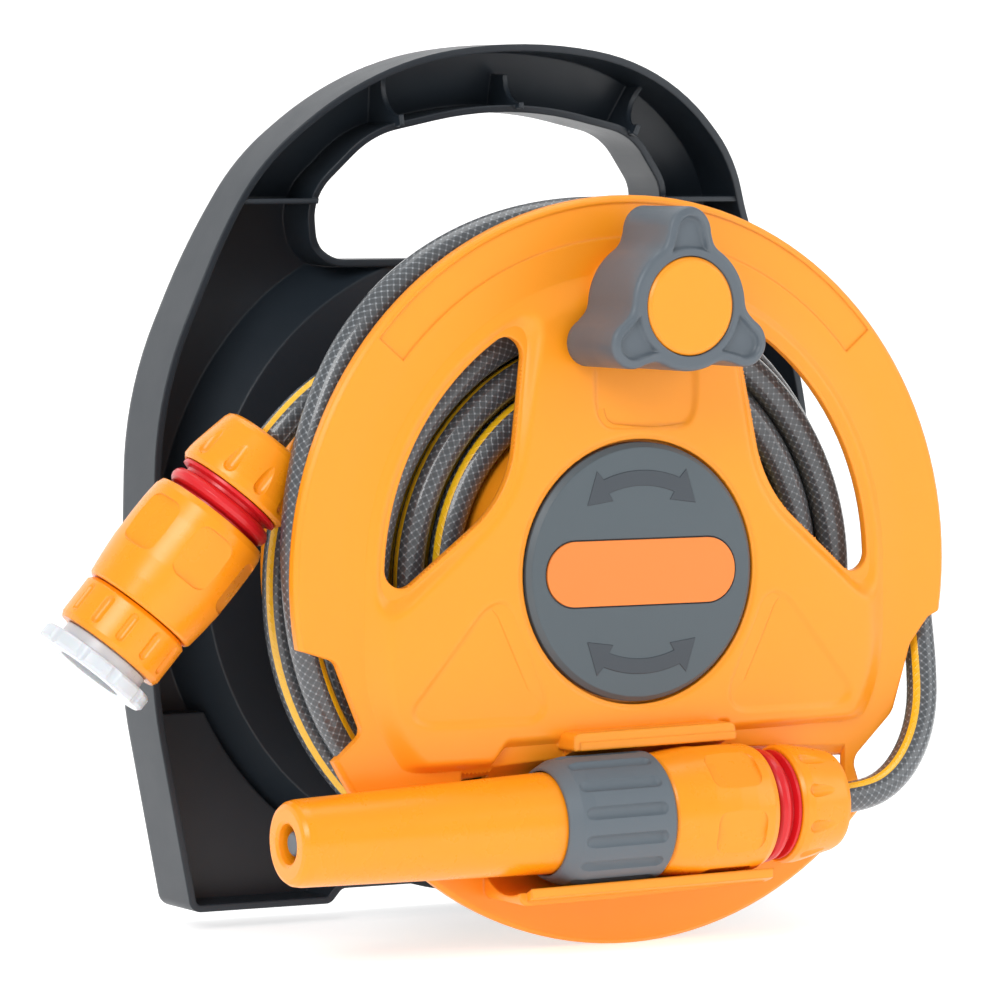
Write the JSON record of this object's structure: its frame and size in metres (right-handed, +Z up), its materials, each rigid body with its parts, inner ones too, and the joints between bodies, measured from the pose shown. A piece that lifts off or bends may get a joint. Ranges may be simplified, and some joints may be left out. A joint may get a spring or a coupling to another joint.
{
  "type": "garden hose reel",
  "caption": "Compact carry-handle garden hose reel: moulded frame, crank-turned drum of striped hose, clipped-on jet nozzle and a tap connector.",
  "frame": {"origin": "on the floor, under the middle of the reel's box measured without the hose and what is on it", "axes": "+Z up, -Y towards the person who faces the crank knob, +X to that person's right"},
  "size_m": [0.2918, 0.1484, 0.2721],
  "materials": {
    "frame_plastic": "satin moulded polypropylene",
    "spindle_plastic": "plain moulded",
    "steel": "zinc plated",
    "drum_plastic": "semi-gloss moulded",
    "cap_plastic": "satin moulded",
    "badge_label": "semi-gloss label",
    "knob_plastic": "satin moulded",
    "hose": "clear-coated braided hose with yellow stripes",
    "connector_yellow": "semi-gloss moulded",
    "connector_red": "semi-gloss moulded",
    "collet_plastic": "plain moulded acetal",
    "nozzle_grey": "soft touch",
    "seal_rubber": "smooth",
    "reducer_white": "translucent moulded"
  },
  "bodies": {
    "frame": {"frame_shell": "frame_plastic", "spindle": "spindle_plastic", "spindle_washer": "steel", "spindle_screw": "steel"},
    "drum": {"front_flange": "drum_plastic", "drum_core": "drum_plastic", "hub_cap": "cap_plastic", "cap_badge": "badge_label", "flange_screws": "steel", "crank_pin": "spindle_plastic", "knob_washer": "steel", "knob_screw": "steel", "hose_winding": "hose", "hose_run": "hose", "hose_tail": "hose", "stop_nut": "connector_yellow", "stop_core": "connector_red", "stop_collet": "collet_plastic", "stop_valve": "collet_plastic", "tap_nut": "connector_yellow", "tap_core": "connector_red", "tap_collet": "collet_plastic"},
    "knob": {"knob": "knob_plastic", "knob_cap": "drum_plastic"},
    "stop_sleeve": {"stop_sleeve": "connector_yellow"},
    "nozzle": {"nozzle_collar": "nozzle_grey", "nozzle_seal": "seal_rubber", "nozzle_needle": "nozzle_grey"},
    "nozzle_barrel": {"nozzle_barrel": "connector_yellow"},
    "tap_sleeve": {"tap_sleeve": "connector_yellow"},
    "tap_connector": {"tap_connector": "connector_yellow", "tap_seal": "seal_rubber", "tap_washer": "seal_rubber", "tap_reducer": "reducer_white"}
  },
  "joints": [
    {"name": "drum_spin", "type": "hinge", "parent": "frame", "child": "drum", "pos_m": [0, -0.03775, 0.113], "axis": [0, 1, 0], "continuous": true},
    {"name": "knob_spin", "type": "hinge", "parent": "drum", "child": "knob", "pos_m": [0, -0.05775, 0.1935], "axis": [0, 1, 0], "continuous": true},
    {"name": "stop_sleeve_slide", "type": "slide", "parent": "drum", "child": "stop_sleeve", "axis": [0.9998, 0, 0.0175], "range_m": [0, 0.004], "stiffness_N_per_m": 400, "springref_m": -0.003},
    {"name": "nozzle_swivel", "type": "hinge", "parent": "drum", "child": "nozzle", "pos_m": [0.00151, -0.05225, 0.04067], "axis": [-0.9998, 0, -0.0175], "continuous": true},
    {"name": "nozzle_twist", "type": "hinge", "parent": "nozzle", "child": "nozzle_barrel", "pos_m": [-0.02849, -0.05225, 0.04015], "axis": [-0.9998, 0, -0.0175], "range_deg": [0, 270]},
    {"name": "tap_sleeve_slide", "type": "slide", "parent": "drum", "child": "tap_sleeve", "axis": [0.6206, -0.13, 0.7733], "range_m": [0, 0.004], "stiffness_N_per_m": 400, "springref_m": -0.003},
    {"name": "tap_swivel", "type": "hinge", "parent": "drum", "child": "tap_connector", "pos_m": [-0.14274, 0.00105, 0.10651], "axis": [-0.6206, 0.13, -0.7733], "continuous": true}
  ]
}
